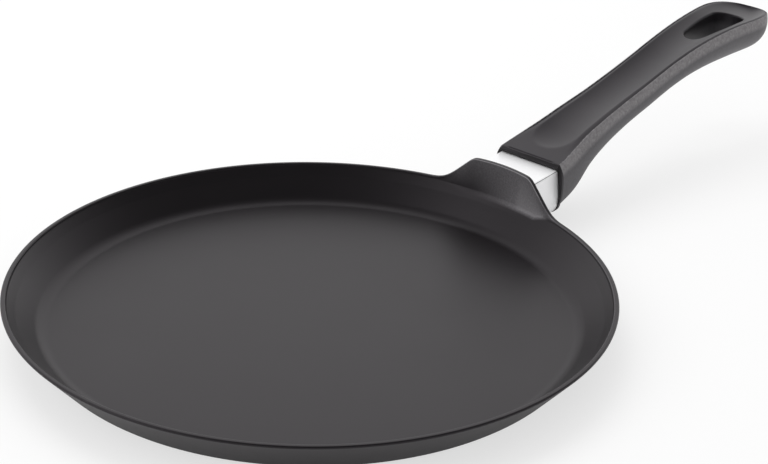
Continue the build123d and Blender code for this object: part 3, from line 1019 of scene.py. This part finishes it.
# %% Floor, world and lamps
floor_mesh = bpy.data.meshes.new("floor")
reach = 3.0
corners = [(-reach, -reach, 0), (reach, -reach, 0), (reach, reach, 0), (-reach, reach, 0)]
floor_mesh.from_pydata(corners, [], [(0, 1, 2, 3)])
floor = bpy.data.objects.new("floor", floor_mesh)
bpy.context.collection.objects.link(floor)
floor_finish, tree, shader, place = new_material("plain_floor")
shader.inputs["Base Color"].default_value = linear("#f6f6f6")
shader.inputs["Roughness"].default_value = 0.9
shader.inputs["Specular IOR Level"].default_value = 0.1
floor_mesh.materials.append(floor_finish)
# Like a light table, the floor looks nearly white of itself, so the object's shadow on it stays soft
ray = put(tree, "ShaderNodeLightPath").outputs
seen = put(tree, "ShaderNodeMath", {
    0: ray["Is Camera Ray"], 1: ray["Is Transmission Ray"],
}, operation="MAXIMUM")
mirrored = put(tree, "ShaderNodeMath", {0: ray["Is Glossy Ray"], 1: 0.15}, operation="MULTIPLY")
share = put(tree, "ShaderNodeMath", {
    0: seen.outputs[0], 1: 0.65, 2: mirrored.outputs[0],
}, operation="MULTIPLY_ADD")
glow = put(tree, "ShaderNodeEmission", {"Color": (1, 1, 1, 1), "Strength": 1.0})
mixed = put(tree, "ShaderNodeMixShader", {0: share.outputs[0], 1: shader.outputs[0], 2: glow.outputs[0]})
tree.links.new(mixed.outputs[0], tree.nodes["Material Output"].inputs["Surface"])
floor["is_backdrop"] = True

world = bpy.data.worlds.new("studio")
world.use_nodes = True
tree = world.node_tree
tree.nodes.clear()
ray = put(tree, "ShaderNodeLightPath").outputs
seen = put(tree, "ShaderNodeMath", {
    0: ray["Is Camera Ray"], 1: ray["Is Glossy Ray"],
}, operation="MAXIMUM")
seen = put(tree, "ShaderNodeMath", {
    0: seen.outputs[0], 1: ray["Is Transmission Ray"],
}, operation="MAXIMUM")
plain = put(tree, "ShaderNodeMapRange", {"Value": seen.outputs[0], "To Min": 0.75, "To Max": 1.0})
# A mirror-like surface sees the lit backdrop on one side and near the floor, and a dim room elsewhere
heading = put(tree, "ShaderNodeTexCoord").outputs["Generated"]
facing = put(tree, "ShaderNodeVectorMath", {0: heading, 1: (0.643, 0.766, 0)}, operation="DOT_PRODUCT")
backdrop = put(tree, "ShaderNodeMapRange", {
    "Value": facing.outputs["Value"], "From Min": 0, "From Max": 0.8, "To Min": 0.07, "To Max": 1.08,
}, interpolation_type="SMOOTHSTEP")
level = put(tree, "ShaderNodeSeparateXYZ", {0: heading}).outputs["Z"]
walls = put(tree, "ShaderNodeMapRange", {"Value": level, "From Min": 0.3, "From Max": 0.05})
room = put(tree, "ShaderNodeMath", {
    0: backdrop.outputs["Result"], 1: walls.outputs["Result"],
}, operation="MAXIMUM")
strength = put(tree, "ShaderNodeMix", {
    "Factor": ray["Is Glossy Ray"], "A": plain.outputs["Result"], "B": room.outputs[0],
}, data_type="FLOAT")
white = put(tree, "ShaderNodeBackground", {
    "Color": (1, 1, 1, 1), "Strength": strength.outputs["Result"],
})
put(tree, "ShaderNodeOutputWorld", {"Surface": white.outputs[0]})
bpy.context.scene.world = world


def area_lamp(name, place, size, power):
    """A square soft light at a place, turned to the middle of the object."""
    light = bpy.data.lights.new(name, "AREA")
    light.shape = "SQUARE"
    light.size = size
    light.energy = power
    lamp = bpy.data.objects.new(name, light)
    lamp.location = place
    lamp.rotation_euler = (Vector((0.1, 0, 0.02)) - Vector(place)).to_track_quat("-Z", "Y").to_euler()
    bpy.context.collection.objects.link(lamp)
    return lamp


top_light = area_lamp("top_light", (0.3, 0.6, 1.25), 1.0, 6.5)
# Its cloth cover is dull, so it lights the pan but leaves no bright patch in the coating
top_light.visible_glossy = False
area_lamp("left_light", (-0.9, 0.6, 0.9), 0.8, 3)
bpy.context.scene.view_settings.view_transform = "Standard"

# %% Sizes and the end
plain = [[list(map(float, corner)) for corner in box] for box in (solid_box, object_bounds())]
print("solid box", plain[0], "visual box", plain[1])
